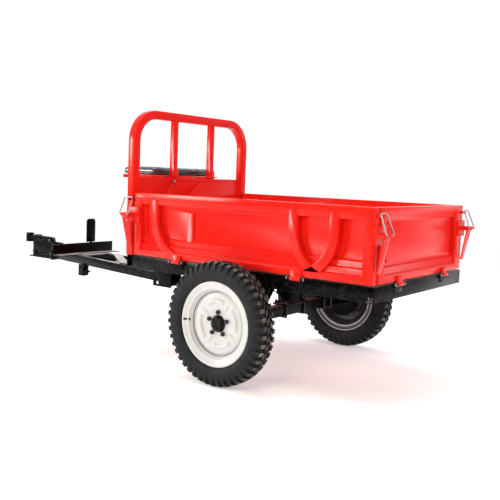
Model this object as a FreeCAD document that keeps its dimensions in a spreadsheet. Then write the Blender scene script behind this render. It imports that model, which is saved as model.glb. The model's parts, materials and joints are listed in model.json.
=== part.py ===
import FreeCAD, Part
import Sketcher
import math
import os
from types import SimpleNamespace

from FreeCAD import Placement, Rotation, Vector

# Tow behind cart: a two-wheeled trailer with drop sides, a drop tailgate,
# a guard hoop and seat over the front wall, and an A-frame drawbar with a swivelling tow eye.
# X runs forward to the tow eye, Y to the left, Z up. Every length below is in millimetres,
# and x is measured from the axle; node() moves each finished part by axle_x.

SIZES = {
    "axle_x": -687.5,          # places the axle so that the whole cart is centred on x = 0
    "tyre_radius": 270.0,      # 4.00-12 tyre
    "tyre_width": 100.0,
    "tyre_bead": 158.3,
    "wheel_y": 542.0,          # tyre centre plane
    "flange_radius": 184.0,
    "well_radius": 140.0,
    "disc_y": 548.0,           # outer face of the wheel disc at the hub
    "drum_radius": 95.0,
    "spindle_radius": 20.0,
    "axle_tube": 50.0,
    "axle_end": 488.0,
    "bed_rear": -673.0,        # outer plane of the tailgate
    "panel_front": 640.0,
    "bed_half": 443.5,         # outer plane of the side panels
    "panel_depth": 36.0,
    "panel_bottom": 503.0,
    "panel_top": 804.0,
    "rail_half": 440.0,
    "frame_low": 434.0,
    "frame_top": 498.0,
    "post_rear": 650.0,
    "post_front": 690.0,
    "post_half": 447.0,
    "post_width": 42.0,
    "hoop_top": 1214.0,
    "hoop_radius": 155.0,
    "guard_y": 145.0,          # centre of each upright guard bar
    "guard_width": 28.0,
    "wall_x": 665.0,
    "wall_top": 881.0,
    "seat_front": 955.0,
    "seat_half": 238.0,
    "seat_low": 893.0,
    "seat_top": 933.0,
    "rib_width": 40.0,
    "rib_bend": 190.0,         # centre-line radius of the pressed side ribs
    "rib_top": 775.0,
    "drawbar_rear": 560.0,
    "drawbar_tip": 1775.0,
    "drawbar_low": 345.0,
    "drawbar_high": 395.0,
    "drawbar_width": 30.0,
    "rail_tip_y": 50.0,        # outer face of a drawbar rail at its tip
    "rail_angle": 9.78,
    "footrest_x": 1545.0,
    "footrest_half": 231.0,
    "footrest_top": 460.0,
    "cheek_front": 2000.0,
    "cheek_low": 341.0,
    "cheek_top": 474.0,
    "low_cheek_top": 437.0,    # the right cheek is cut lower than the left
    "bush_rear": 1972.0,
    "bush_front": 2010.0,
    "hitch_bolt": 7.0,
    "tow_height": 453.0,
    "tow_x": 2080.0,           # centre of the tow-pin bore
    "tow_bore": 13.0,
    "tow_ring": 25.0,
    "tow_length": 57.0,
    "shaft_radius": 14.0,
    "hinge_z": 492.0,
    "hinge_out": 8.8,          # hinge axis outside the panel's face
    "hinge_pin": 5.0,
    "latch_z": 700.0,
    "latch_out": 38.0,         # lever pivot outside the mounting face
    "latch_peg_z": 772.0,
    "knee": 13.0,              # bail pivot outside the lever pivot
    "bail_z": 783.0,
    "bail_radius": 3.0,
    "bail_half": 31.0,         # half of the bail's width, to the wire's centre
    "front_latch_x": 656.0,
    "pedal_x": 1607.0,
    "pedal_z": 372.0,
    "pedal_y": -108.0,
    "pedal_top": 601.0,
    "brake_arm": 55.0,
    "cross_x": 150.0,          # brake cross shaft
    "cam_z": 340.0,
}

FIT = 0.05                     # radial clearance of a running fit
SHEET = 3.0                    # pressed sheet thickness
SIDES = {"left": 1, "right": -1}

doc = FreeCAD.newDocument("tow_cart")
sheet = doc.addObject("Spreadsheet::Sheet", "cart")
for row, (alias, number) in enumerate(SIZES.items(), 1):
    sheet.set(f"A{row}", alias)
    sheet.set(f"B{row}", str(number))
    sheet.setAlias(f"B{row}", alias)
doc.recompute()


class Dim:
    """A length that carries both its number and its spreadsheet formula."""

    def __init__(self, number, text):
        self.number = number
        self.text = text

    def join(self, sign, other, number):
        return Dim(number, f"({self.text} {sign} {dim(other).text})")

    def __add__(self, other):
        return self.join("+", other, self.number + dim(other).number)

    def __sub__(self, other):
        return self.join("-", other, self.number - dim(other).number)

    def __mul__(self, other):
        return self.join("*", other, self.number * dim(other).number)

    def __truediv__(self, other):
        return self.join("/", other, self.number / dim(other).number)

    def __neg__(self):
        return self * -1

    def __radd__(self, other):
        return dim(other) + self

    def __rsub__(self, other):
        return dim(other) - self

    def __rmul__(self, other):
        return dim(other) * self


def dim(value):
    if isinstance(value, Dim):
        return value
    return Dim(float(value), f"({float(value):.6f})")


S = SimpleNamespace(**{alias: Dim(number, f"cart.{alias}") for alias, number in SIZES.items()})
base_x = {}                    # x of each primitive, so that node() can add the axle's place
nodes = []
TURNS = {"x": Rotation(Vector(0, 1, 0), 90), "y": Rotation(Vector(1, 0, 0), -90), "z": Rotation()}


# ---------------------------------------------------------------- building blocks

def bind(item, prop, value):
    item.setExpression(prop, dim(value).text)


def place(item, at, rotation=None):
    item.Placement = Placement(Vector(), rotation or Rotation())
    for axis, value in zip("xyz", at):
        bind(item, f"Placement.Base.{axis}", value)
    base_x[item.Name] = dim(at[0])
    return item


def block(x, y, z):
    """A box between two limits on each axis, given in either order."""
    item = doc.addObject("Part::Box", "block")
    low = []
    for side, limits in zip(("Length", "Width", "Height"), (x, y, z)):
        near, far = sorted((dim(limit) for limit in limits), key=lambda value: value.number)
        bind(item, side, far - near)
        low.append(near)
    return place(item, low)


def rod(axis, at, length, radius):
    """A round bar from the point at, along +axis."""
    item = doc.addObject("Part::Cylinder", "rod")
    bind(item, "Radius", radius)
    bind(item, "Height", length)
    return place(item, at, TURNS[axis])


def hexagon(axis, at, length, radius):
    item = doc.addObject("Part::Prism", "hexagon")
    item.Polygon = 6
    bind(item, "Circumradius", radius)
    bind(item, "Height", length)
    return place(item, at, TURNS[axis])


def ball(at, radius):
    item = doc.addObject("Part::Sphere", "ball")
    bind(item, "Radius", radius)
    return place(item, at)


def fuse(*items):
    item = doc.addObject("Part::MultiFuse", "fuse")
    item.Shapes = list(items)
    item.Refine = True
    return item


def cut(base, *tools):
    item = doc.addObject("Part::Cut", "cut")
    item.Base = base
    item.Tool = tools[0] if len(tools) == 1 else fuse(*tools)
    return item


def common(first, second):
    item = doc.addObject("Part::Common", "common")
    item.Base = first
    item.Tool = second
    return item


def tube(axis, at, length, outer, inner):
    return cut(rod(axis, at, length, outer), rod(axis, at, length, inner))


def sketch_on(body, plane, loops):
    """A fully constrained sketch: a loop is a list of corners, or (centre, radius)."""
    sketch = body.newObject("Sketcher::SketchObject", "outline")
    face = next(item for item in body.Origin.OriginFeatures if item.Role == f"{plane}_Plane")
    sketch.AttachmentSupport = [(face, "")]
    sketch.MapMode = "FlatFace"

    def fix(kind, geometry, vertex, value):
        index = sketch.addConstraint(
            Sketcher.Constraint(kind, -1, 1, geometry, vertex, dim(value).number))
        sketch.setExpression(f"Constraints[{index}]", dim(value).text)

    for loop in loops:
        if isinstance(loop, tuple):
            (u, v), radius = loop
            centre = Vector(dim(u).number, dim(v).number, 0)
            circle = Part.Circle(centre, Vector(0, 0, 1), dim(radius).number)
            index = sketch.addGeometry(circle, False)
            fix("DistanceX", index, 3, u)
            fix("DistanceY", index, 3, v)
            ring = sketch.addConstraint(
                Sketcher.Constraint("Radius", index, dim(radius).number))
            sketch.setExpression(f"Constraints[{ring}]", dim(radius).text)
            continue
        corners = [Vector(dim(u).number, dim(v).number, 0) for u, v in loop]
        first = sketch.GeometryCount
        for start, end in zip(corners, corners[1:] + corners[:1]):
            sketch.addGeometry(Part.LineSegment(start, end), False)
        for step, (u, v) in enumerate(loop):
            before = first + (step - 1) % len(loop)
            sketch.addConstraint(
                Sketcher.Constraint("Coincident", before, 2, first + step, 1))
            fix("DistanceX", first + step, 1, u)
            fix("DistanceY", first + step, 1, v)
    return sketch


def slab(plane, limits, *loops, rounds=()):
    """A plate: loops drawn on a plane and padded between two limits along its normal.

    rounds is a list of (corner, radius): the plate's edge at that corner is filleted.
    """
    body = doc.addObject("PartDesign::Body", "plate")
    sketch = sketch_on(body, plane, loops)
    near, far = sorted((dim(limit) for limit in limits), key=lambda value: value.number)
    pad = body.newObject("PartDesign::Pad", "pad")
    pad.Profile = sketch
    bind(pad, "Length", far - near)
    start = {"XY": (0, 0, near), "XZ": (0, far, 0), "YZ": (near, 0, 0)}[plane]
    place(body, start)
    doc.recompute()
    for (u, v), radius in rounds:
        corner = (dim(u).number, dim(v).number)
        add_round(body, plane, corner, radius)
    return body


def add_round(body, plane, corner, radius):
    base = body.Tip
    first, second = {"XY": ("x", "y"), "XZ": ("x", "z"), "YZ": ("y", "z")}[plane]

    def stands_at(edge):
        return all(
            abs(getattr(vertex.Point, first) - corner[0]) < 0.01
            and abs(getattr(vertex.Point, second) - corner[1]) < 0.01
            for vertex in edge.Vertexes)

    names = [f"Edge{index}" for index, edge in enumerate(base.Shape.Edges, 1)
             if stands_at(edge)]
    fillet = body.newObject("PartDesign::Fillet", "round")
    fillet.Base = (base, names)
    bind(fillet, "Radius", radius)
    body.Tip = fillet
    doc.recompute()


def turned(side, profile):
    """A solid of revolution about the wheel axis, from (radius, y) corners of one side."""
    body = doc.addObject("PartDesign::Body", "turned")
    sketch = sketch_on(body, "XY", [[(radius, y * side) for radius, y in profile]])
    revolution = body.newObject("PartDesign::Revolution", "revolution")
    revolution.Profile = sketch
    revolution.ReferenceAxis = (sketch, ["V_Axis"])
    revolution.Angle = 360
    return place(body, (0, 0, S.tyre_radius))


def stand(item, yaw, at):
    """Moves a fitting from its own frame, +X out of the face, to its place on the cart."""
    moved = doc.addObject("Part::Compound", "stand")
    moved.Links = [item]
    return place(moved, at, Rotation(Vector(0, 0, 1), yaw))


def node(label, *items):
    item = items[0]
    if len(items) > 1:
        item = doc.addObject("Part::Compound", label)
        item.Links = list(items)
    bind(item, "Placement.Base.x", base_x.get(item.Name, dim(0)) + S.axle_x)
    item.Label = label
    nodes.append(item)


# ---------------------------------------------------------------- bed frame

def channel(thick, near, far, low, high):
    """Corners of a C section whose web is at far and whose flanges reach back to near."""
    inner = far - thick * (1 if far.number > near.number else -1)
    return [(near, low), (far, low), (far, high), (near, high), (near, high - thick),
            (inner, high - thick), (inner, low + thick), (near, low + thick)]


JOIST_DEPTH = 24
POST_BOLT_Y = 78               # the U bolts that hold the middle post to the axle


def bed_frame():
    beam = 40
    rails = []
    for side in SIDES.values():
        section = channel(4, (S.rail_half - beam) * side, S.rail_half * side,
                          S.frame_low, S.frame_top)
        rails.append(slab("YZ", (S.bed_rear + beam, S.post_rear), section))
    node("side_rails", *rails)
    ends = []
    for web, flange in ((S.bed_rear, S.bed_rear + beam), (S.post_front, S.post_rear)):
        section = channel(4, flange, web, S.frame_low, S.frame_top)
        ends.append(slab("XZ", (-S.rail_half, S.rail_half), section))
    node("end_beams", *ends)
    stringers = []
    for side in SIDES.values():
        outer = [(side * y, z) for y, z in ((280, S.frame_low), (320, S.frame_low),
                                            (320, S.frame_top), (280, S.frame_top))]
        inner = [(side * y, z) for y, z in ((283, S.frame_low + 3), (317, S.frame_low + 3),
                                            (317, S.frame_top - 3), (283, S.frame_top - 3))]
        stringers.append(slab("YZ", (S.bed_rear + beam, S.post_rear), outer, inner))
    node("chassis_stringers", *stringers)
    joists = []
    for x in (-480, -165, 150, 465):
        for limits in ((-280, 280), (320, S.rail_half - beam), (-320, beam - S.rail_half)):
            section = [(x - 15, S.frame_top - JOIST_DEPTH), (x + 15, S.frame_top - JOIST_DEPTH),
                       (x + 15, S.frame_top), (x - 15, S.frame_top)]
            joists.append(slab("XZ", limits, section))
    joists.append(block((-30, 30), (-280, 280), (S.frame_top - JOIST_DEPTH, S.frame_top)))
    node("floor_joists", *joists)
    half = S.bed_half - S.panel_depth - SHEET
    node("bed_floor", block((S.bed_rear + beam, S.wall_x), (-half, half),
                            (S.frame_top, S.frame_top + SHEET)))


# ---------------------------------------------------------------- front wall, guard and seat

WALL_HOLES = (147, -75)        # the first is bolted through; the second is left empty


def front_wall():
    inner = S.post_half - S.post_width
    wall = [(S.wall_x, S.frame_top + 0.2), (S.wall_x + 4, S.frame_top + 0.2),
            (S.wall_x + 4, S.wall_top - 3), (S.post_front, S.wall_top - 3),
            (S.post_front, S.wall_top), (S.wall_x, S.wall_top)]
    holes = [rod("x", (S.wall_x - 5, y, S.wall_top - 19), 20, 5.5)
             for y in WALL_HOLES]
    node("front_wall", cut(slab("XZ", (-inner, inner), wall), *holes))


def hoop(inset):
    """The bent guard hoop; inset shrinks its section, which gives the bore of the tube."""
    radius = S.hoop_radius
    turn_z = S.hoop_top - radius
    turn_y = S.post_half - radius
    x = (S.post_rear + inset, S.post_front - inset)
    foot = S.frame_top - inset
    items = []
    for side in SIDES.values():
        items.append(block(x, ((S.post_half - inset) * side,
                               (S.post_half - S.post_width + inset) * side), (foot, turn_z)))
        ring = tube("x", (x[0], turn_y * side, turn_z), x[1] - x[0],
                    radius - inset, radius - S.post_width + inset)
        corner = block(x, (turn_y * side, (S.post_half + 1) * side), (turn_z, S.hoop_top + 1))
        items.append(common(ring, corner))
    items.append(block(x, (-turn_y, turn_y),
                       (S.hoop_top - S.post_width + inset, S.hoop_top - inset)))
    return fuse(*items)


def guard():
    node("guard_hoop", cut(hoop(0), hoop(3)))
    bars = []
    for side in SIDES.values():
        centre = S.guard_y * side
        half = S.guard_width / 2
        x = S.post_rear + 5
        z = (S.wall_top, S.hoop_top - S.post_width)
        shell = block((x, x + 30), (centre - half, centre + half), z)
        bore = block((x + 2.5, x + 27.5), (centre - half + 2.5, centre + half - 2.5), z)
        tab = block((x - 4, x), (centre - half - 5, centre + half + 5),
                    (S.wall_top, S.wall_top + 45))
        bars.append(fuse(cut(shell, bore), tab))
    node("guard_bars", *bars)


def seat():
    pan = block((S.post_front, S.seat_front - 3), (2 - S.seat_half, S.seat_half - 2),
                (S.seat_low - 6, S.seat_low))
    lip = block((S.seat_front - 7, S.seat_front - 3), (2 - S.seat_half, S.seat_half - 2),
                (S.seat_low - 18, S.seat_low))
    under = S.seat_low - 6
    outline = [(S.wall_x + 4, S.wall_top - 3), (S.post_front, S.wall_top - 3),
               (S.post_front, under), (S.seat_front - 7, under), (S.seat_front - 7, under - 12),
               (S.post_front, under - 75), (S.wall_x + 4, under - 80)]
    braces = [slab("XZ", ((S.seat_half - 34) * side, (S.seat_half - 28) * side), outline)
              for side in SIDES.values()]
    node("seat_frame", fuse(pan, lip, *braces))
    half = S.seat_half
    low = S.seat_low + 0.5
    corners = [(S.post_front + 22, -half), (S.seat_front, -half),
               (S.seat_front, half), (S.post_front + 22, half)]
    node("seat_cushion", slab("XY", (low, S.seat_top), corners,
                              rounds=[(corner, 24) for corner in corners]))
    wall_bolt = (S.wall_x - 7, WALL_HOLES[0], S.wall_top - 19)
    bolts = [fuse(hexagon("x", wall_bolt, 7, 10), rod("x", wall_bolt, 19, 5))]
    for x in (S.post_front + 70, S.seat_front - 70):
        for side in SIDES.values():
            bolts.append(hexagon("z", (x, 120 * side, S.seat_low - 13), 7, 9))
    node("seat_bolts", *bolts)


# ---------------------------------------------------------------- drop sides and tailgate

RIBS = ((503, -1), (-292, -1), (-488, 1))      # x of each rib's straight, way that it bends


def rib(side, tip_x, way, inset):
    """A pressed J rib: straight down from the top rail, then bent by way along X.

    inset shrinks the section, which gives the hollow behind the pressing.
    """
    half = S.rib_width / 2 - inset
    bend_z = S.rib_top - 80
    face = S.bed_half + 3 - inset
    y = ((S.bed_half - 30) * side, face * side)
    shaft = block((tip_x - half, tip_x + half), y, (bend_z, S.rib_top - inset))
    centre_x = tip_x + S.rib_bend * way
    start = y[0] if y[0].number < y[1].number else y[1]
    ring = tube("y", (centre_x, start, bend_z), S.bed_half + 3 - inset - (S.bed_half - 30),
                S.rib_bend + half, S.rib_bend - half)
    sector = block((tip_x - (half + 1) * way, tip_x + S.rib_bend * way * 0.72), y,
                   (S.panel_bottom + 25 + inset, bend_z))
    return fuse(shaft, common(ring, sector))


def drop_side(name, side):
    outer = S.bed_half * side
    inner = (S.bed_half - S.panel_depth) * side
    field = outer - 31 * side
    top = S.panel_top
    section = [(inner, S.panel_bottom), (outer, S.panel_bottom), (outer, S.panel_bottom + 27),
               (outer - 9 * side, S.panel_bottom + 34), (outer - 9 * side, S.panel_bottom + 56),
               (outer - 20 * side, S.panel_bottom + 62), (outer - 20 * side, S.panel_bottom + 84),
               (field, S.panel_bottom + 92), (field, top - 55), (outer, top - 51),
               (outer, top), (inner, top)]
    hollow_top = [(inner + 3 * side, top - 48), (outer - 3 * side, top - 46),
                  (outer - 3 * side, top - 3), (inner + 3 * side, top - 3)]
    hollow_low = [(inner + 3 * side, S.panel_bottom + 3), (outer - 4 * side, S.panel_bottom + 3),
                  (outer - 4 * side, S.panel_bottom + 24),
                  (outer - 13 * side, S.panel_bottom + 31),
                  (outer - 13 * side, S.panel_bottom + 53),
                  (inner + 3 * side, S.panel_bottom + 60)]
    rear = S.bed_rear + 6
    pressing = slab("YZ", (rear, S.panel_front), section, hollow_top, hollow_low)
    stiles = []
    for near, far in ((rear, rear + 47), (S.panel_front, S.panel_front - 44)):
        shell = block((near, far), (inner, outer), (S.panel_bottom, top))
        cell = block((near + 3, far - 3) if near.number < far.number else (near - 3, far + 3),
                     (inner + 3 * side, outer - 3 * side),
                     (S.panel_bottom + 3, top - 3))
        stiles.append((shell, cell))
    filled = fuse(pressing, *[shell for shell, cell in stiles])
    bead = block((275, 311), (field - 2 * side, field + 6 * side),
                 (S.panel_bottom + 85, top - 84))
    step = block((S.panel_front - 44, S.panel_front - 65), (field - 2 * side, field + 9 * side),
                 (S.panel_bottom + 70, top - 50))
    panel = cut(fuse(filled, bead, step), *[cell for shell, cell in stiles])
    node(f"side_panel_{name}", cut(panel, *[rib(side, x, way, 0) for x, way in RIBS]))
    node(f"side_ribs_{name}", *[cut(rib(side, x, way, 0), rib(side, x, way, SHEET))
                                for x, way in RIBS])


def tailgate():
    half = S.bed_half - S.panel_depth - 3.5
    outer = S.bed_rear
    inner = S.bed_rear + S.panel_depth
    field = outer + 28
    low = S.panel_bottom + 1
    top = S.panel_top
    section = [(inner, low), (outer, low), (outer, low + 30), (outer + 9, low + 35),
               (outer + 9, low + 62), (outer + 18, low + 67), (outer + 18, low + 82),
               (field, low + 86), (field, top - 57), (outer + 12, top - 54),
               (outer + 12, top - 30), (outer, top - 26), (outer, top), (inner, top)]
    hollow_low = [(inner - 3, low + 3), (outer + 4, low + 3), (outer + 4, low + 27),
                  (outer + 13, low + 32), (outer + 13, low + 59), (inner - 3, low + 62)]
    hollow_top = [(inner - 3, top - 27), (outer + 4, top - 23), (outer + 4, top - 3),
                  (inner - 3, top - 3)]
    pressing = slab("XZ", (-half, half), section, hollow_low, hollow_top)
    stiles = []
    cells = []
    for side in SIDES.values():
        stiles.append(block((outer, inner), (half * side, (half - 46) * side), (low, top)))
        cells.append(block((outer + 3, inner - 3), ((half - 3) * side, (half - 43) * side),
                           (low + 3, top - 3)))
    edge = half - 76
    corners = [(-edge, low + 80), (edge, low + 80), (edge, top - 50), (-edge, top - 50)]
    plate = slab("YZ", (field - 14, field + 2), corners,
                 rounds=[(corner, 28) for corner in corners])
    node("tailgate", cut(fuse(pressing, plate, *stiles), *cells))


def hinge_leaf():
    """The half of a hinge that is welded to the panel, in the frame of the panel's face."""
    out = S.hinge_out
    leaf = block((0, out), (-25, 25), (S.hinge_z, S.hinge_z + 32))
    knuckle = rod("y", (out, -25, S.hinge_z), 50, 8)
    bore = rod("y", (out, -26, S.hinge_z), 52, S.hinge_pin + FIT)
    return cut(fuse(leaf, knuckle), bore)


def hinge_bracket(gap):
    """The half of a hinge that is welded to the bed frame, gap inside the panel's face."""
    out = S.hinge_out
    items = [block((-gap, 2), (-37, 37), (S.hinge_z - 34, S.hinge_z - 10))]
    for way in (1, -1):
        items.append(block((-gap, out), (26 * way, 37 * way), (S.hinge_z - 14, S.hinge_z)))
        items.append(rod("y", (out, 26 if way > 0 else -37, S.hinge_z), 11, 8))
    return cut(fuse(*items), rod("y", (out, -38, S.hinge_z), 76, S.hinge_pin + FIT))


def hinge_pin():
    out = S.hinge_out
    pin = rod("y", (out, -40, S.hinge_z), 80, S.hinge_pin)
    return fuse(pin, rod("y", (out, -43, S.hinge_z), 4, 7.5), rod("y", (out, 39, S.hinge_z), 4, 7.5))


SIDE_HINGES = (-320, 350)
TAIL_HINGES = (-230, 230)


def hinges():
    brackets = []
    pins = []
    for side in SIDES.values():
        for x in SIDE_HINGES:
            at = (x, S.bed_half * side, 0)
            brackets.append(stand(hinge_bracket(3.5), 90 * side, at))
            pins.append(stand(hinge_pin(), 90 * side, at))
    for y in TAIL_HINGES:
        brackets.append(stand(hinge_bracket(0), 180, (S.bed_rear, y, 0)))
        pins.append(stand(hinge_pin(), 180, (S.bed_rear, y, 0)))
    front = [LATCHES["front_left"], LATCHES["front_right"]]
    pegs = [stand(latch_peg(3), yaw, at) for yaw, at, way in front]
    node("frame_fittings", *brackets, *pegs)
    node("hinge_pins", *pins)


# ---------------------------------------------------------------- corner latches

def latch_bracket(way, standoff):
    """Base plate and cheeks; way is the side that the plate is welded on, along local Y."""
    items = [block((0, 5), (-27 * way, 60 * way), (S.latch_z - 40, S.latch_z + 35))]
    if standoff:
        items.append(block((-standoff, 0), (21 * way, 58 * way),
                           (S.latch_z - 35, S.latch_z + 30)))
    for cheek in (1, -1):
        items.append(block((5, S.latch_out + 5), (21 * cheek, 26 * cheek),
                           (S.latch_z - 11, S.latch_z + 7)))
    items.append(rod("y", (S.latch_out, -27, S.latch_z), 54, 4))
    return fuse(*items)


PEG_REACH = 17.5               # how far a peg stands out of the panel's face


def latch_peg(setback):
    peg = rod("x", (-setback, 0, S.latch_peg_z), PEG_REACH + setback, 5)
    return fuse(peg, rod("x", (-setback, 0, S.latch_peg_z), 4, 7))


def latch_lever():
    """Tapered lever that hangs from its pivot, leaning back to the panel at its foot."""
    lean = 11
    reach = 154
    outline = [(-26, -14), (26, -14), (15, -reach), (-15, -reach)]
    blade = slab("YZ", (-2, 2), outline, ((0, -32), 5),
                 rounds=[(corner, 9) for corner in outline[2:]])
    place(blade, (S.latch_out - 2 * math.cos(math.radians(lean)),
                  0, S.latch_z + 2 * math.sin(math.radians(lean))),
          Rotation(Vector(0, 1, 0), lean))
    barrel = rod("y", (S.latch_out, -20, S.latch_z), 40, 8)
    neck = block((S.latch_out - 8, S.latch_out + 1), (-20, 20), (S.latch_z - 18, S.latch_z))
    knee_x = S.latch_out + S.knee
    arms = [block((S.latch_out, knee_x), (15 * way, 19 * way),
                  (S.latch_z - 6, S.latch_z + 6)) for way in (1, -1)]
    knee = rod("y", (knee_x, -19, S.latch_z), 38, 6)
    return cut(fuse(blade, barrel, neck, knee, *arms),
               rod("y", (S.latch_out, -22, S.latch_z), 44, 4 + FIT),
               rod("y", (knee_x, -22, S.latch_z), 44, S.bail_radius + FIT))


def latch_bail():
    """Wire loop from the lever's knee up and over the peg."""
    knee_x = S.latch_out + S.knee
    top_x = 18
    rise = S.bail_z - S.latch_z
    run = knee_x - top_x
    length = math.hypot(rise.number, run.number)
    lean = Rotation(Vector(0, 1, 0), -math.degrees(math.atan2(run.number, rise.number)))
    radius = S.bail_radius
    items = []
    for x, z in ((knee_x, S.latch_z), (top_x, S.bail_z)):
        items.append(rod("y", (x, -S.bail_half, z), S.bail_half * 2, radius))
        items += [ball((x, S.bail_half * way, z), radius) for way in (1, -1)]
    for way in (1, -1):
        foot = (knee_x, S.bail_half * way, S.latch_z)
        items.append(place(rod("z", foot, length, radius), foot, lean))
    return fuse(*items)


LATCHES = {                    # name: yaw, place, side that its plate is welded on
    "front_left": (90, (S.front_latch_x, S.bed_half + 6.5, 0), 1),
    "front_right": (-90, (S.front_latch_x, -S.bed_half - 6.5, 0), -1),
    "rear_left": (180, (S.bed_rear, 424, 0), 1),
    "rear_right": (180, (S.bed_rear, -424, 0), -1),
}


def latches():
    for name, (yaw, at, way) in LATCHES.items():
        node(f"latch_lever_{name}", stand(latch_lever(), yaw, at))
        node(f"latch_bail_{name}", stand(latch_bail(), yaw, at))
    for name, side in SIDES.items():
        yaw, at, way = LATCHES[f"front_{name}"]
        leaves = [stand(hinge_leaf(), 90 * side, (x, S.bed_half * side, 0))
                  for x in SIDE_HINGES]
        peg_yaw, peg_at, peg_way = LATCHES[f"rear_{name}"]
        node(f"side_fittings_{name}", stand(latch_bracket(way, 6.5), yaw, at),
             stand(latch_peg(6), peg_yaw, peg_at), *leaves)
    rear = [LATCHES["rear_left"], LATCHES["rear_right"]]
    leaves = [stand(hinge_leaf(), 180, (S.bed_rear, y, 0)) for y in TAIL_HINGES]
    node("tail_fittings", *[stand(latch_bracket(way, 0), yaw, at) for yaw, at, way in rear],
         *leaves)


# ---------------------------------------------------------------- wheels and axle

def wheel(name, side):
    radius = S.tyre_radius
    half = S.tyre_width / 2
    bead = S.tyre_bead
    shell = [(bead, half - 17), (bead + 27, half - 17), (bead + 28, half - 8),
             (radius - 55, half), (radius - 20, half - 2), (radius - 8, half - 8),
             (radius, half - 20)]
    bore = [(radius - 16, half - 32), (radius - 25, half - 16), (radius - 55, half - 14),
            (bead + 32, half - 26), (bead, half - 29)]
    loop = [(r, S.wheel_y + y) for r, y in shell]
    loop += [(r, S.wheel_y - y) for r, y in reversed(shell)]
    loop += [(r, S.wheel_y - y) for r, y in reversed(bore)]
    loop += [(r, S.wheel_y + y) for r, y in bore]
    node(f"tyre_{name}", turned(side, loop))

    flange = S.flange_radius
    well = S.well_radius
    disc = S.disc_y
    wide = half - 12
    face = S.wheel_y + wide
    back = S.wheel_y - wide
    rim = [(flange, face), (flange, face - 4), (bead - 0.3, face - 4.4), (bead - 3, face - 18),
           (well, face - 28), (well, back + 28), (bead - 3, back + 18), (bead - 0.3, back + 4.4),
           (flange, back + 4), (flange, back), (bead - 6, back + 1), (bead - 7, back + 16),
           (well - 4, back + 26), (well - 4, disc - 2), (116, disc + 4), (84, disc + 4),
           (62, disc - 3), (32.2, disc - 4), (32.2, disc), (60, disc + 1), (83, disc + 8),
           (117, disc + 8), (well - 4, disc + 3), (well - 4, face - 26), (bead - 7, face - 16),
           (bead - 6, face - 1)]
    node(f"rim_{name}", turned(side, rim))

    drum = S.drum_radius
    spindle = S.spindle_radius + FIT
    end = S.axle_end
    hub = [(spindle, end + 6), (30, end + 6), (30, disc - 14), (drum - 9, disc - 14),
           (drum - 9, end + 12), (drum, end + 12), (drum, disc - 8), (62, disc - 8),
           (62, disc - 4), (31.9, disc - 4), (31.9, disc + 1), (spindle, disc + 1)]
    node(f"hub_drum_{name}", turned(side, hub))
    cap = [(0, disc + 16), (30, disc + 16), (38, disc + 9), (38, disc + 0.6),
           (32.6, disc + 0.6), (32.6, disc + 8), (0, disc + 10)]
    node(f"hub_cap_{name}", turned(side, cap))
    nuts = []
    for step in range(5):
        turn = math.radians(72 * step + 18)
        x = 50 * math.cos(turn)
        z = S.tyre_radius + 50 * math.sin(turn)
        near = disc + 1
        low = near if side > 0 else -near - 11
        tail = near + 11 if side > 0 else -near - 16
        nuts.append(fuse(hexagon("y", (x, low, z), 11, 10), rod("y", (x, tail, z), 5, 5.5)))
    node(f"lug_nuts_{name}", *nuts)


def axle():
    half = S.axle_tube / 2
    radius = S.tyre_radius
    square = [(-half, radius - half), (half, radius - half), (half, radius + half),
              (-half, radius + half)]
    inner = half - 4
    bore = [(-inner, radius - inner), (inner, radius - inner), (inner, radius + inner),
            (-inner, radius + inner)]
    beam = slab("XZ", (-S.axle_end + 1, S.axle_end - 1), square, bore)
    items = [beam]
    for side in SIDES.values():
        start = S.axle_end - 40
        length = S.disc_y + 2 - start
        low = start if side > 0 else -start - length
        items.append(rod("y", (0, low, radius), length, S.spindle_radius))
        low = S.axle_end - 40 if side > 0 else 1 - S.axle_end
        plug = [(-inner, radius - inner), (inner, radius - inner), (inner, radius + inner),
                (-inner, radius + inner)]
        items.append(slab("XZ", (low, low + 39), plug))
    node("axle_beam", fuse(*items))

    plates = []
    for side in SIDES.values():
        low = S.axle_end - 1 if side > 0 else -S.axle_end - 3
        plates.append(tube("y", (0, low, radius), 4, S.drum_radius + 5,
                           S.spindle_radius + FIT))
    node("brake_back_plates", *plates)

    seats = []
    bolts = []
    top = S.frame_low
    saddle = radius + half
    for side in SIDES.values():
        web = [(-42, saddle), (42, saddle), (110, top - 6), (-110, top - 6)]
        window = ((0, saddle + 82), 24)
        pieces = [slab("XZ", (y * side, (y + 6) * side), web, window) for y in (278, 316)]
        pieces.append(block((-120, 120), (272 * side, 328 * side), (top - 6, top)))
        pieces.append(block((-42, 42), (284 * side, 316 * side), (saddle, saddle + 8)))
        for y in (267, 333):
            bolts.append(u_bolt(y * side, half, saddle))
            plate = block((-42, 42), ((y - 9) * side, (y + 9) * side), (saddle, saddle + 8))
            holes = [rod("z", (leg, y * side, saddle - 1), 10, 5.3)
                     for leg in (half + 6, -half - 6)]
            pieces.append(cut(plate, *holes))
        seats.append(fuse(*pieces))
    joist = S.frame_top - JOIST_DEPTH
    post = cut(block((-30, 30), (-66, 66), (saddle, joist)),
               block((-24, 24), (-60, 60), (saddle - 1, joist)))
    foot = block((-42, 42), (-90, 90), (saddle, saddle + 8))
    legs = [(way * (half + 6), POST_BOLT_Y * side)
            for way in (1, -1) for side in SIDES.values()]
    foot_holes = [rod("z", (x, y, saddle - 1), 10, 5.3) for x, y in legs]
    seats.append(cut(fuse(post, foot), *foot_holes))
    bolts += [u_bolt(POST_BOLT_Y * side, half, saddle) for side in SIDES.values()]
    node("axle_seats", *seats)
    node("axle_u_bolts", *bolts)


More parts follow.
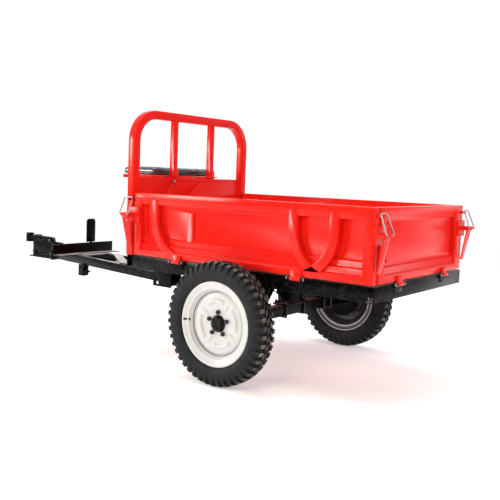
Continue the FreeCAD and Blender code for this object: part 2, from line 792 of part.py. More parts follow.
def u_bolt(y, half, saddle):
    """A square U bolt under the axle tube, its two ends nutted above the saddle plate."""
    radius = 5
    out = half + radius + 1
    low = saddle - S.axle_tube - radius - 0.5
    items = [rod("x", (-out, y, low), out * 2, radius)]
    for way in (1, -1):
        items.append(rod("z", (out * way, y, low), saddle + 24 - low, radius))
        items.append(ball((out * way, y, low), radius))
        items.append(hexagon("z", (out * way, y, saddle + 8), 9, 9))
    return fuse(*items)


# ---------------------------------------------------------------- drawbar and hitch

def drawbar():
    width = S.drawbar_width
    length = (S.drawbar_tip - S.drawbar_rear) / math.cos(math.radians(S.rail_angle.number))
    for name, side in SIDES.items():
        section = channel(4, dim(-width * side), dim(0), S.drawbar_low, S.drawbar_high)
        turn = Rotation(Vector(0, 0, 1), -S.rail_angle.number * side)
        rear_y = S.rail_tip_y + length * math.sin(math.radians(S.rail_angle.number))
        rail = place(slab("YZ", (-length, 0), section), (S.drawbar_rear, rear_y * side, 0), turn)
        node(f"drawbar_rail_{name}", rail)

    high = S.drawbar_high
    cross = slab("XY", (high, high + 5), [(1405, 110), (1455, 100), (1455, -100), (1405, -110)])
    brace_top = slab("XY", (high, high + 5), [(940, 176), (1022, 176), (1400, -107),
                                              (1318, -107)])
    brace_web = slab("XY", (S.drawbar_low, high), [(1061, 143.5), (1366, -85), (1363, -89),
                                                   (1058, 139.5)])
    node("drawbar_ties", cross, fuse(brace_top, brace_web))

    foot = S.footrest_x
    angle = [(foot - 70, high), (foot, high), (foot, S.footrest_top),
             (foot - 5, S.footrest_top), (foot - 5, high + 5), (foot - 70, high + 5)]
    node("footrest_angle", slab("XZ", (-S.footrest_half, S.footrest_half), angle))

    rear, front = 544, 668
    hangers = []
    for side in SIDES.values():
        outline = [(rear, 328), (front, 328), (front, S.frame_low), (rear, S.frame_low)]
        plate = slab("XZ", (269 * side, 275 * side), outline, ((639, 346), 9))
        inner_plate = block((rear, front), (198 * side, 204 * side),
                            (S.drawbar_low - 8, S.frame_low))
        shelf = block((rear, 622), (198 * side, 269 * side), (S.drawbar_low - 8, S.drawbar_low))
        roof = block((rear, front), (204 * side, 320 * side), (S.frame_low - 6, S.frame_low))
        hangers.append(fuse(plate, inner_plate, shelf, roof))
    node("drawbar_hangers", *hangers)

    rear, front = 1394, 1438
    socket_y = 104
    shell = block((rear, front), (socket_y - 20, socket_y + 20), (281, S.drawbar_low))
    bore = block((rear + 5, front - 5), (socket_y - 15, socket_y + 15),
                 (280, S.drawbar_low + 1))
    clamp = rod("x", (rear - 24, socket_y, 308), 24, 7)
    handle = rod("y", (rear - 17, socket_y - 22, 308), 44, 4)
    node("stand_socket", fuse(cut(shell, bore), clamp, handle))


THROUGH_BOLTS = ((1812, 368), (1986, 368))     # x, z of the bolts through both cheeks
LUG_BOLT = (1826, 452)                         # and of the one in the tall cheek alone


def hitch():
    tip = S.drawbar_tip
    low = S.cheek_low
    rear = tip + 6
    front = S.cheek_front
    through = [((x, z), S.hitch_bolt + 0.2) for x, z in THROUGH_BOLTS]
    tall = [(rear, low), (front, low), (front, S.cheek_top - 16), (front - 26, S.cheek_top),
            (rear, S.cheek_top)]
    short = [(rear, low), (front, low), (front, S.low_cheek_top), (rear, S.low_cheek_top)]
    left = slab("XZ", (26, 34), tall, ((1922, S.tow_height + 1), 12),
                (LUG_BOLT, S.hitch_bolt + 0.2), *through, rounds=[(tall[4], 22)])
    right = slab("XZ", (-34, -26), short, *through)
    back = block((tip, rear), (-62, 62), (low - 8, S.drawbar_high + 4))
    tongue = block((rear, 2040), (-34, 34), (low - 8, low))
    node("hitch_plates", fuse(left, right, back, tongue))

    height = S.tow_height
    start = S.bush_rear
    end = S.bush_front
    post = S.shaft_radius + 9
    bearing = fuse(rod("x", (start, 0, height), end - start, 25),
                   block((start + 2, front), (-post, post), (low, height - 8)))
    bolt_x, bolt_z = THROUGH_BOLTS[1]
    node("hitch_bush", cut(bearing, rod("x", (start - 1, 0, height), end - start + 2,
                                        S.shaft_radius + FIT),
                           rod("y", (bolt_x, -30, bolt_z), 60, S.hitch_bolt + 0.2)))
    bolts = []
    for (x, z), inner, outer in ((LUG_BOLT, 26, 34), *[(bolt, -34, 34) for bolt in THROUGH_BOLTS]):
        shank = rod("y", (x, inner, z), outer - inner, S.hitch_bolt)
        bolts.append(fuse(shank, hexagon("y", (x, outer, z), 8, 12),
                          hexagon("y", (x, inner - 8, z), 8, 12)))
    node("hitch_bolts", *bolts)

    length = S.tow_length
    shaft = rod("x", (start - 1, 0, height), S.tow_x - 9 - start, S.shaft_radius)
    tail = rod("x", (start - 12, 0, height), 12, 9)
    collar = rod("x", (end + 0.6, 0, height), 9, 21)
    ring = rod("z", (S.tow_x, 0, height - length / 2), length, S.tow_ring)
    hole = rod("z", (S.tow_x, 0, height - length / 2 - 1), length + 2, S.tow_bore)
    node("tow_eye", cut(fuse(shaft, tail, collar, ring), hole))
    node("tow_eye_nut", cut(hexagon("x", (start - 10, 0, height), 8.8, 19),
                            rod("x", (start - 11, 0, height), 11, 9 + FIT)))


# ---------------------------------------------------------------- foot brake

def eyed_arm(x, y, z, reach, way):
    """A brake arm on a shaft at (x, z): reach is up or down, way the side of its pin."""
    arm = block((x - 8, x + 8), (y - 4, y + 4), (z, z + reach))
    boss = rod("y", (x, y - 4, z), 8, 17)
    end = rod("y", (x, y - 4, z + reach), 8, 10)
    pin = rod("y", (x, y + 4 if way > 0 else y - 19, z + reach), 15, 5)
    return [arm, boss, end, pin]


def rod_with_eyes(start, end, y, low):
    """A pull rod between two pins; its eyes run on the pins at y, from low in Y."""
    (x, z), (far_x, far_z) = start, end
    run = far_x - x
    rise = far_z - z
    length = math.hypot(run.number, rise.number)
    lean = Rotation(Vector(0, 1, 0), 90 - math.degrees(math.atan2(rise.number, run.number)))
    bar = place(rod("z", (x, y, z), length, 4), (x, y, z), lean)
    eyes = [rod("y", (u, low, v), 11, 9) for u, v in (start, end)]
    holes = [rod("y", (u, low - 1, v), 13, 5 + FIT) for u, v in (start, end)]
    return cut(fuse(bar, *eyes), *holes)


def brake():
    x = S.pedal_x
    y = S.pedal_y
    z = S.pedal_z
    arm = S.brake_arm
    high = S.drawbar_high
    mount = block((x - 22, x + 22), (y + 12, y + 24.5), (z - 22, high - 3))
    pin = rod("y", (x, y - 9, z), 27, 7)
    washer = rod("y", (x, y - 12.5, z), 3, 11)
    brackets = [fuse(mount, pin, washer)]
    for side in SIDES.values():
        plate = [(S.cross_x - 22, z - 20), (S.cross_x + 22, z - 20),
                 (S.cross_x + 22, S.frame_top - 24), (S.cross_x - 22, S.frame_top - 24)]
        brackets.append(slab("XZ", (350 * side, 356 * side), plate,
                             ((S.cross_x, z), 11 + FIT)))
    node("brake_brackets", *brackets)

    pad_corners = [(y - 34, high + 60), (y + 34, high + 60), (y + 34, S.pedal_top),
                   (y - 34, S.pedal_top)]
    pad = slab("YZ", (x - 4, x + 2), pad_corners,
               rounds=[(pad_corners[2], 20), (pad_corners[3], 20)])
    stem = block((x - 12, x + 4), (y - 4, y + 4), (z, high + 90))
    hub = rod("y", (x, y - 8.5, z), 19.5, 14)
    foot = eyed_arm(x, y, z, -arm, -1)
    node("brake_pedal", cut(fuse(pad, stem, hub, *foot),
                            rod("y", (x, y - 20, z), 34, 7 + FIT)))

    pin_z = z - arm
    node("pedal_rod", rod_with_eyes((S.cross_x, pin_z), (x, pin_z), y - 11, y - 16.5))
    shaft = rod("y", (S.cross_x, -462, z), 924, 11)
    arms = eyed_arm(S.cross_x, y, z, -arm, -1)
    for side in SIDES.values():
        arms += eyed_arm(S.cross_x, dim(456 * side), z, arm, side)
    node("brake_shaft", fuse(shaft, *arms))

    cams = []
    rods = []
    for side in SIDES.values():
        spindle = rod("y", (0, 452 if side > 0 else 0.5 - 487, S.cam_z), 34.5, 8)
        cams.append(fuse(spindle, *eyed_arm(dim(0), dim(456 * side), S.cam_z, arm, side)))
        rods.append(rod_with_eyes((dim(0), S.cam_z + arm), (S.cross_x, z + arm),
                                  467 * side, 461.5 if side > 0 else -472.5))
    node("brake_cam_levers", *cams)
    node("brake_pull_rods", *rods)


# ---------------------------------------------------------------- build, check and write

bed_frame()
front_wall()
guard()
seat()
for side_name, side_sign in SIDES.items():
    drop_side(side_name, side_sign)
tailgate()
hinges()
latches()
for side_name, side_sign in SIDES.items():
    wheel(side_name, side_sign)
axle()
drawbar()
hitch()
brake()
doc.recompute()

failed = [item.Label for item in doc.Objects
          if {"Invalid", "Error"} & set(item.State)]
if failed:
    raise RuntimeError(f"objects failed: {failed}")
for item in nodes:
    if item.Shape.isNull() or not item.Shape.isValid():
        raise RuntimeError(f"bad shape: {item.Label}")
    if not item.Shape.Solids:
        raise RuntimeError(f"no solid: {item.Label}")

os.makedirs("parts", exist_ok=True)
whole = FreeCAD.BoundBox()
for item in nodes:
    item.Shape.exportStep(f"parts/{item.Label}.step")
    whole.add(item.Shape.BoundBox)
print(f"{len(nodes)} parts, x {whole.XMin:.1f} to {whole.XMax:.1f}, "
      f"y {whole.YMin:.1f} to {whole.YMax:.1f}, z {whole.ZMin:.1f} to {whole.ZMax:.1f}")
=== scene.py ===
import json
import math
import random

import bmesh
import bpy
from mathutils import Matrix, Vector, noise

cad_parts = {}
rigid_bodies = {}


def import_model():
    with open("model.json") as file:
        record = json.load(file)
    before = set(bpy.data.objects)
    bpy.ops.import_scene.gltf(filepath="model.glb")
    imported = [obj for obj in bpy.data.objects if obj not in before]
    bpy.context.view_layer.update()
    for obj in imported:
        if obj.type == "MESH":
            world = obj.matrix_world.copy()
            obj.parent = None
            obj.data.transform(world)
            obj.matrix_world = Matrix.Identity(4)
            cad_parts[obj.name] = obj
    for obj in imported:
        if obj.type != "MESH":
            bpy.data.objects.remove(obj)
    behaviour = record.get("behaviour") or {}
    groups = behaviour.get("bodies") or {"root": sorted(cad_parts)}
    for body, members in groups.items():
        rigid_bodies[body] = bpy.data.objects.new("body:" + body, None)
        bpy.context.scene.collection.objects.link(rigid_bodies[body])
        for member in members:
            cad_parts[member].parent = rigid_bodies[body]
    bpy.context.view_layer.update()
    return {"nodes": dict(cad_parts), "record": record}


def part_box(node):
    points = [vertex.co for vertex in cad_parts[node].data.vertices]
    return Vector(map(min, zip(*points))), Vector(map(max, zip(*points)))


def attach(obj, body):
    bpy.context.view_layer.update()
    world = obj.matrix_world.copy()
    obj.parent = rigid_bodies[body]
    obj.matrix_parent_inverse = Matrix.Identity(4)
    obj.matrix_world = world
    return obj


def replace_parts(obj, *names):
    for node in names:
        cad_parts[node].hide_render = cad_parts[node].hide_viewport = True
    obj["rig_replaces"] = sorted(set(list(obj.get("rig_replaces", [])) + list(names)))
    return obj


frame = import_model()
record = frame["record"]
BODY_OF = {node: body for body, nodes in record["behaviour"]["bodies"].items() for node in nodes}
SLOT_OF = {part["node"]: part["material_slot"] for part in record["subparts"]}
SIDES = {"left": 1, "right": -1}


def middle(node):
    low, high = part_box(node)
    return (Vector(low) + Vector(high)) / 2


AXLE = middle("axle_beam")
TYRE_RADIUS = (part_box("tyre_left")[1][2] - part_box("tyre_left")[0][2]) / 2
WHEEL_Y = middle("tyre_left").y


# ---------------------------------------------------------------- materials

def new_material(name):
    material = bpy.data.materials.new(name)
    material.use_nodes = True
    return material, material.node_tree.nodes["Principled BSDF"]


def add(material, kind, **settings):
    item = material.node_tree.nodes.new(kind)
    for name, value in settings.items():
        setattr(item, name, value)
    return item


def wire(material, source, target):
    material.node_tree.links.new(source, target)


def noise_node(material, scale, detail=4.0, roughness=0.55):
    place = add(material, "ShaderNodeTexCoord")
    item = add(material, "ShaderNodeTexNoise")
    item.inputs["Scale"].default_value = scale
    item.inputs["Detail"].default_value = detail
    item.inputs["Roughness"].default_value = roughness
    wire(material, place.outputs["Object"], item.inputs["Vector"])
    return item


def ramp(material, source, stops):
    item = add(material, "ShaderNodeValToRGB")
    band = item.color_ramp
    while len(band.elements) < len(stops):
        band.elements.new(0.5)
    for element, (position, color) in zip(band.elements, stops):
        element.position = position
        element.color = (*color, 1)
    wire(material, source, item.inputs["Fac"])
    return item


def grey(value):
    return (value, value, value)


def mix_color(material, factor, first, second):
    item = add(material, "ShaderNodeMix", data_type="RGBA")
    wire(material, factor, item.inputs["Factor"])
    for socket, value in ((item.inputs[6], first), (item.inputs[7], second)):
        if isinstance(value, tuple):
            socket.default_value = (*value, 1)
        else:
            wire(material, value, socket)
    return item.outputs[2]


def bump(material, shader, height, strength, distance):
    item = add(material, "ShaderNodeBump")
    item.inputs["Strength"].default_value = strength
    item.inputs["Distance"].default_value = distance
    wire(material, height, item.inputs["Height"])
    wire(material, item.outputs["Normal"], shader.inputs["Normal"])


def varied_roughness(material, shader, source, low, high):
    spread = ramp(material, source, [(0.3, grey(low)), (0.7, grey(high))])
    wire(material, spread.outputs["Color"], shader.inputs["Roughness"])


def edge_factor(material, low, high):
    """White along sharp convex edges, where paint wears first."""
    geometry = add(material, "ShaderNodeNewGeometry")
    return ramp(material, geometry.outputs["Pointiness"], [(low, grey(0)), (high, grey(1))])


def dust_and_top_sheen(material, color, amount):
    """Pale dust and a painted sheen on the faces that point straight up."""
    geometry = add(material, "ShaderNodeNewGeometry")
    split = add(material, "ShaderNodeSeparateXYZ")
    wire(material, geometry.outputs["Normal"], split.inputs["Vector"])
    level = ramp(material, split.outputs["Z"], [(0.90, grey(0)), (0.99, grey(amount))])
    streaks = noise_node(material, 9, 5, 0.6)
    cover = ramp(material, streaks.outputs["Fac"], [(0.35, grey(0.35)), (0.6, grey(1))])
    share = add(material, "ShaderNodeMath", operation="MULTIPLY")
    wire(material, level.outputs["Color"], share.inputs[0])
    wire(material, cover.outputs["Color"], share.inputs[1])
    return mix_color(material, share.outputs[0], color, (0.52, 0.51, 0.49))


FLECK_SHARE = 0.03


def enamel(name, deep, light, worn, roughness, wear, coat, specular, dust_and_sheen=0.0, with_painted_shade=False):
    """Sprayed enamel: cloudy tone, orange peel, flecks, paint worn along edges, pale dust with a
    painted sheen on upward faces, painted shade from a vertex layer.
    """
    material, shader = new_material(name)
    clouds = noise_node(material, 2.6, 5)
    tone = mix_color(material, clouds.outputs["Fac"], deep, light)
    specks = noise_node(material, 190, 3, 0.7)
    fleck = ramp(material, specks.outputs["Fac"], [(0.66, grey(0)), (0.74, grey(1))])
    edges = edge_factor(material, 0.53, 0.62)
    grain = noise_node(material, 46, 4, 0.65)
    patch = ramp(material, grain.outputs["Fac"], [(0.5, grey(0)), (0.62, grey(wear))])
    rubbed = add(material, "ShaderNodeMath", operation="MULTIPLY")
    wire(material, edges.outputs["Color"], rubbed.inputs[0])
    wire(material, patch.outputs["Color"], rubbed.inputs[1])
    faint = add(material, "ShaderNodeMath", operation="MULTIPLY_ADD")
    wire(material, fleck.outputs["Color"], faint.inputs[0])
    faint.inputs[1].default_value = FLECK_SHARE
    wire(material, rubbed.outputs[0], faint.inputs[2])
    color = mix_color(material, faint.outputs[0], tone, worn)
    # Pale dust with a painted sheen on the faces that point up, standing in for their reflection.
    if dust_and_sheen:
        color = dust_and_top_sheen(material, color, dust_and_sheen)
    # Painted shade: where the vertex layer is set, the colour is darkened towards near black.
    if with_painted_shade:
        painted_light_share = add(material, "ShaderNodeVertexColor", layer_name="painted_light_share")
        color = mix_color(material, painted_light_share.outputs["Color"], color, grey(0.006))
    wire(material, color, shader.inputs["Base Color"])
    varied_roughness(material, shader, clouds.outputs["Fac"], roughness * 0.8, roughness * 1.35)
    peel = noise_node(material, 520, 2, 0.5)
    bump(material, shader, peel.outputs["Fac"], 0.10, 0.0004)
    shader.inputs["Specular IOR Level"].default_value = specular
    shader.inputs["Coat Weight"].default_value = coat
    shader.inputs["Coat Roughness"].default_value = 0.12
    return material


def rubber_material():
    """Tyre rubber: dark in the grooves, with grey dust and a painted highlight on what stands proud.
    """
    material, shader = new_material("tyre_rubber")
    dust_and_highlight = noise_node(material, 22, 6, 0.7)
    place = add(material, "ShaderNodeVertexColor", layer_name="dust_and_highlight")
    amount = add(material, "ShaderNodeMath", operation="MULTIPLY")
    wire(material, place.outputs["Color"], amount.inputs[0])
    spread = ramp(material, dust_and_highlight.outputs["Fac"], [(0.36, grey(0.12)), (0.62, grey(1))])
    wire(material, spread.outputs["Color"], amount.inputs[1])
    color = mix_color(material, amount.outputs[0], (0.0045, 0.006, 0.007), (0.20, 0.185, 0.165))
    wire(material, color, shader.inputs["Base Color"])
    varied_roughness(material, shader, dust_and_highlight.outputs["Fac"], 0.45, 0.75)
    fine = noise_node(material, 700, 3, 0.6)
    bump(material, shader, fine.outputs["Fac"], 0.25, 0.0006)
    shader.inputs["Specular IOR Level"].default_value = 0.22
    return material


def zinc_material():
    """Zinc plating with a cloudy bloom."""
    material, shader = new_material("zinc_steel")
    shader.inputs["Metallic"].default_value = 1.0
    bloom = noise_node(material, 60, 5, 0.6)
    color = mix_color(material, bloom.outputs["Fac"], (0.22, 0.22, 0.22), (0.50, 0.49, 0.47))
    wire(material, color, shader.inputs["Base Color"])
    varied_roughness(material, shader, bloom.outputs["Fac"], 0.24, 0.5)
    bump(material, shader, bloom.outputs["Fac"], 0.15, 0.0004)
    return material


def iron_material():
    """Near-black cast iron with a rough skin and faint rust stains."""
    material, shader = new_material("cast_drum")
    shader.inputs["Roughness"].default_value = 0.55
    cast = noise_node(material, 240, 6, 0.7)
    rust = noise_node(material, 14, 6, 0.65)
    stain = ramp(material, rust.outputs["Fac"], [(0.55, grey(0)), (0.78, grey(0.6))])
    color = mix_color(material, stain.outputs["Color"], (0.006, 0.006, 0.007), (0.03, 0.014, 0.009))
    wire(material, color, shader.inputs["Base Color"])
    bump(material, shader, cast.outputs["Fac"], 0.5, 0.0012)
    return material


def vinyl_material():
    """Glossy black vinyl with a fine leather grain."""
    material, shader = new_material("seat_vinyl")
    place = add(material, "ShaderNodeTexCoord")
    cells = add(material, "ShaderNodeTexVoronoi", feature="DISTANCE_TO_EDGE")
    cells.inputs["Scale"].default_value = 420
    wire(material, place.outputs["Object"], cells.inputs["Vector"])
    pores = ramp(material, cells.outputs["Distance"], [(0.0, grey(0)), (0.12, grey(1))])
    clouds = noise_node(material, 9, 4)
    color = mix_color(material, clouds.outputs["Fac"], (0.005, 0.005, 0.006), (0.014, 0.014, 0.015))
    wire(material, color, shader.inputs["Base Color"])
    varied_roughness(material, shader, clouds.outputs["Fac"], 0.20, 0.36)
    bump(material, shader, pores.outputs["Color"], 0.35, 0.0005)
    shader.inputs["Coat Weight"].default_value = 0.8
    shader.inputs["Coat Roughness"].default_value = 0.12
    return material


MATERIALS = {
    "red_paint": enamel("red_paint", deep=(0.66, 0.006, 0.008), light=(0.84, 0.020, 0.008),
                        worn=(0.78, 0.14, 0.07), roughness=0.22, wear=0.22, coat=0.05,
                        specular=0.12),
    "black_paint": enamel("black_paint", deep=(0.0010, 0.0010, 0.0011),
                          light=(0.0021, 0.0021, 0.0022), worn=(0.045, 0.042, 0.040),
                          roughness=0.24, wear=0.5, coat=0.02, specular=0.06, dust_and_sheen=0.8),
    "rim_paint": enamel("rim_paint", deep=(0.48, 0.49, 0.50), light=(0.64, 0.65, 0.655),
                        worn=(0.22, 0.21, 0.20), roughness=0.30, wear=0.5, coat=0.1,
                        specular=0.35, with_painted_shade=True),
    "cap_paint": enamel("cap_paint", deep=grey(0.002), light=grey(0.004), worn=grey(0.06),
                        roughness=0.2, wear=0.6, coat=0.05, specular=0.12),
    "cast_drum": iron_material(),
    "zinc_steel": zinc_material(),
    "tyre_rubber": rubber_material(),
    "seat_vinyl": vinyl_material(),
}


# ---------------------------------------------------------------- mesh helpers

def object_from(name, mesh):
    piece = bpy.data.objects.new(name, mesh)
    bpy.context.scene.collection.objects.link(piece)
    return piece


def object_from_bmesh(name, shape, smooth_angle=None):
    bmesh.ops.recalc_face_normals(shape, faces=shape.faces)
    mesh = bpy.data.meshes.new(name)
    shape.to_mesh(mesh)
    shape.free()
    piece = object_from(name, mesh)
    if smooth_angle is not None:
        shade(piece, smooth_angle)
    return piece


def shade(piece, angle):
    """Smooth shading that keeps edges sharper than angle."""
    mesh = piece.data
    mesh.shade_smooth()
    shape = bmesh.new()
    shape.from_mesh(mesh)
    limit = math.radians(angle)
    for edge in shape.edges:
        edge.smooth = len(edge.link_faces) == 2 and edge.calc_face_angle(0) < limit
    shape.to_mesh(mesh)
    shape.free()


def apply_modifiers(piece):
    """Bakes the modifiers into the mesh."""
    bpy.context.view_layer.update()
    evaluated = piece.evaluated_get(bpy.context.evaluated_depsgraph_get())
    mesh = bpy.data.meshes.new_from_object(evaluated)
    piece.modifiers.clear()
    piece.data = mesh
    return piece


def finish_piece(piece, body, slot, *nodes, material=None):
    piece.data.materials.clear()
    piece.data.materials.append(MATERIALS[material or slot])
    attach(piece, body)
    if nodes:
        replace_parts(piece, *nodes)
    return piece


def lathe(shape, profile, centre, steps, offset=None):
    """Turns a closed profile of (radius, y) about the wheel's axis.

    offset(index, radius, angle), where given, is added to a point's y.
    """
    rings = []
    for step in range(steps):
        angle = 2 * math.pi * step / steps
        ring = []
        for index, (radius, y) in enumerate(profile):
            shift = offset(index, radius, angle) if offset else 0
            ring.append(shape.verts.new((centre.x + radius * math.cos(angle), y + shift,
                                         centre.z + radius * math.sin(angle))))
        rings.append(ring)
    faces = []
    for ring, following in zip(rings, rings[1:] + rings[:1]):
        for index in range(len(profile)):
            after = (index + 1) % len(profile)
            faces.append(shape.faces.new((ring[index], ring[after],
                                          following[after], following[index])))
    return faces


def smooth_profile(points, radius=0.0015, steps=3):
    """Rounds each corner of a closed outline with a small curve."""
    result = []
    count = len(points)
    for index, point in enumerate(points):
        here = Vector(point)
        back = Vector(points[index - 1]) - here
        ahead = Vector(points[(index + 1) % count]) - here
        reach = min(radius, back.length * 0.45, ahead.length * 0.45)
        start = here + back.normalized() * reach
        end = here + ahead.normalized() * reach
        for step in range(steps + 1):
            share = step / steps
            result.append(tuple(start.lerp(here, share).lerp(here.lerp(end, share), share)))
    return result


def hexahedron(shape, corners):
    """A closed eight-cornered block: four base corners, then four top corners."""
    verts = [shape.verts.new(corner) for corner in corners]
    order = ((0, 3, 2, 1), (4, 5, 6, 7), (0, 1, 5, 4), (1, 2, 6, 5), (2, 3, 7, 6), (3, 0, 4, 7))
    return [shape.faces.new([verts[index] for index in face]) for face in order]


# ---------------------------------------------------------------- finished CAD nodes

DULLED = ("lug_nuts_left", "lug_nuts_right", "hitch_bolts", "axle_u_bolts")
EDGE_RADIUS = 0.0016


def softened(node):
    """The CAD node's own shape with its sharp edges rounded as pressed or rolled steel is."""
    mesh = frame["nodes"][node].data.copy()
    piece = object_from(f"{node}_finished", mesh)
    shape = bmesh.new()
    shape.from_mesh(mesh)
    bmesh.ops.remove_doubles(shape, verts=shape.verts, dist=2e-5)
    bmesh.ops.dissolve_limit(shape, angle_limit=math.radians(1.0), verts=shape.verts,
                             edges=shape.edges, use_dissolve_boundaries=False)
    shape.to_mesh(mesh)
    shape.free()
    rounding = piece.modifiers.new("round", "BEVEL")
    rounding.width = EDGE_RADIUS
    rounding.segments = 2
    rounding.limit_method = "ANGLE"
    rounding.angle_limit = math.radians(32)
    rounding.use_clamp_overlap = True
    apply_modifiers(piece)
    shade(piece, 40)
    dulled = "cast_drum" if node in DULLED else None
    return finish_piece(piece, BODY_OF[node], SLOT_OF[node], node, material=dulled)


# ---------------------------------------------------------------- wheels

TREAD_PITCHES = 46
RIM_HALF = 0.038               # half the rim's width
SCALLOP_ANGLES = (100, 15, -75, -165)
RIB_ANGLES = (58, -30, -120, 148)
EMBOSS_HEIGHT = 0.0075
INNER_PAINTED_SHADE = 0.93             # how strongly the painted shade darkens the rim's brake side


def tyre(name, side):
    """Casing with moulded sidewall rings, block tread and shoulder lugs."""
    centre = Vector((AXLE.x, WHEEL_Y * side, TYRE_RADIUS))
    shape = bmesh.new()
    dust_and_highlight = shape.loops.layers.color.new("dust_and_highlight")
    half = [(0.1600, 0.0285), (0.1700, 0.0290), (0.1845, 0.0330), (0.1862, 0.0405), (0.1905, 0.0445),
            (0.1935, 0.0448), (0.1960, 0.0462), (0.1990, 0.0464), (0.2020, 0.0474),
            (0.2100, 0.0487), (0.2200, 0.0490), (0.2300, 0.0483), (0.2400, 0.0462),
            (0.2490, 0.0425), (0.2560, 0.0370), (0.2600, 0.0290), (0.2620, 0.0180),
            (0.2628, 0.0060)]
    outer = half + [(r, -y) for r, y in reversed(half)]
    inner = [(0.1600, -0.0210), (0.2000, -0.0280), (0.2400, -0.0330), (0.2520, -0.0150),
             (0.2520, 0.0150), (0.2400, 0.0330), (0.2000, 0.0280), (0.1600, 0.0210)]
    profile = [(r, centre.y + y) for r, y in outer + inner]
    # Dust and painted highlight: the casing is paler where it reaches the crown.
    for face in lathe(shape, profile, centre, 160):
        for loop in face.loops:
            reach = math.hypot(loop.vert.co.x - centre.x, loop.vert.co.z - centre.z)
            share = 0.22 if reach > 0.257 else 0.03
            loop[dust_and_highlight] = (share, share, share, 1)

    def on_tyre(radius, across, angle):
        return (centre.x + radius * math.cos(angle), centre.y + across,
                centre.z + radius * math.sin(angle))

    def tread_block(start, end, stations, skew=0.0):
        """A block along stations of (across, base radius, top radius, share of dust and painted
        highlight), start to end angle.
        """
        taper = (end - start) * 0.10
        for (near, low, top, share), (far, far_low, far_top, _) in zip(stations, stations[1:]):
            first, second = skew * near, skew * far
            corners = [on_tyre(low, near, start + first), on_tyre(low, near, end + first),
                       on_tyre(far_low, far, end + second), on_tyre(far_low, far, start + second),
                       on_tyre(top, near, start + taper + first),
                       on_tyre(top, near, end - taper + first),
                       on_tyre(far_top, far, end - taper + second),
                       on_tyre(far_top, far, start + taper + second)]
            for number, face in enumerate(hexahedron(shape, corners)):
                # Only the top face gets the pale dust and painted highlight.
                amount = share if number == 1 else 0.04
                for loop in face.loops:
                    loop[dust_and_highlight] = (amount, amount, amount, 1)

    pitch = 2 * math.pi / TREAD_PITCHES
    crown = TYRE_RADIUS - 0.0002
    for index in range(TREAD_PITCHES):
        for way in (1, -1):
            phase = index * pitch + (pitch * 0.5 if way < 0 else 0)
            # Share of pale dust and painted highlight on this pitch's block tops.
            painted_light_share = random.uniform(0.65, 1.0)
            tread_block(phase, phase + pitch * 0.62,
                        [(0.0030 * way, 0.2600, crown, painted_light_share),
                         (0.0175 * way, 0.2595, crown - 0.0004, painted_light_share)], skew=5.0 * way)
            tread_block(phase + pitch * 0.14, phase + pitch * 0.72,
                        [(0.0205 * way, 0.2590, crown - 0.0006, painted_light_share),
                         (0.0330 * way, 0.2550, crown - 0.0022, painted_light_share),
                         (0.0425 * way, 0.2430, 0.2630, painted_light_share * 0.35),
                         (0.0472 * way, 0.2330, 0.2530, 0.06),
                         (0.0495 * way, 0.2240, 0.2400, 0.0)])
    piece = object_from_bmesh(f"tyre_{name}_tread", shape)
    shade(piece, 28)
    return finish_piece(piece, f"wheel_{name}", "tyre_rubber", f"tyre_{name}")


def turn_between(first, second):
    """The smaller turn between two directions, in degrees."""
    return abs((first - second + 180) % 360 - 180)


def disc_emboss(direction, radius):
    """Height of the pressings in the wheel disc at one polar place, 0 to 1."""
    height = 0.0
    for scallop in SCALLOP_ANGLES:
        away = turn_between(direction, scallop)
        along = max(0.0, 1 - max(0.0, away - 24) / 9)
        across = max(0.0, 1 - abs(radius - 0.098) / 0.012)
        height = max(height, ease(min(1, along)) * ease(min(1, across * 1.6)))
    for rib in RIB_ANGLES:
        away = math.radians(turn_between(direction, rib)) * radius
        across = max(0.0, 1 - away / 0.008)
        along = max(0.0, 1 - abs(radius - 0.086) / 0.022)
        height = max(height, 0.7 * ease(across) * ease(min(1, along * 1.8)))
    return height


def ease(share):
    return share * share * (3 - 2 * share)


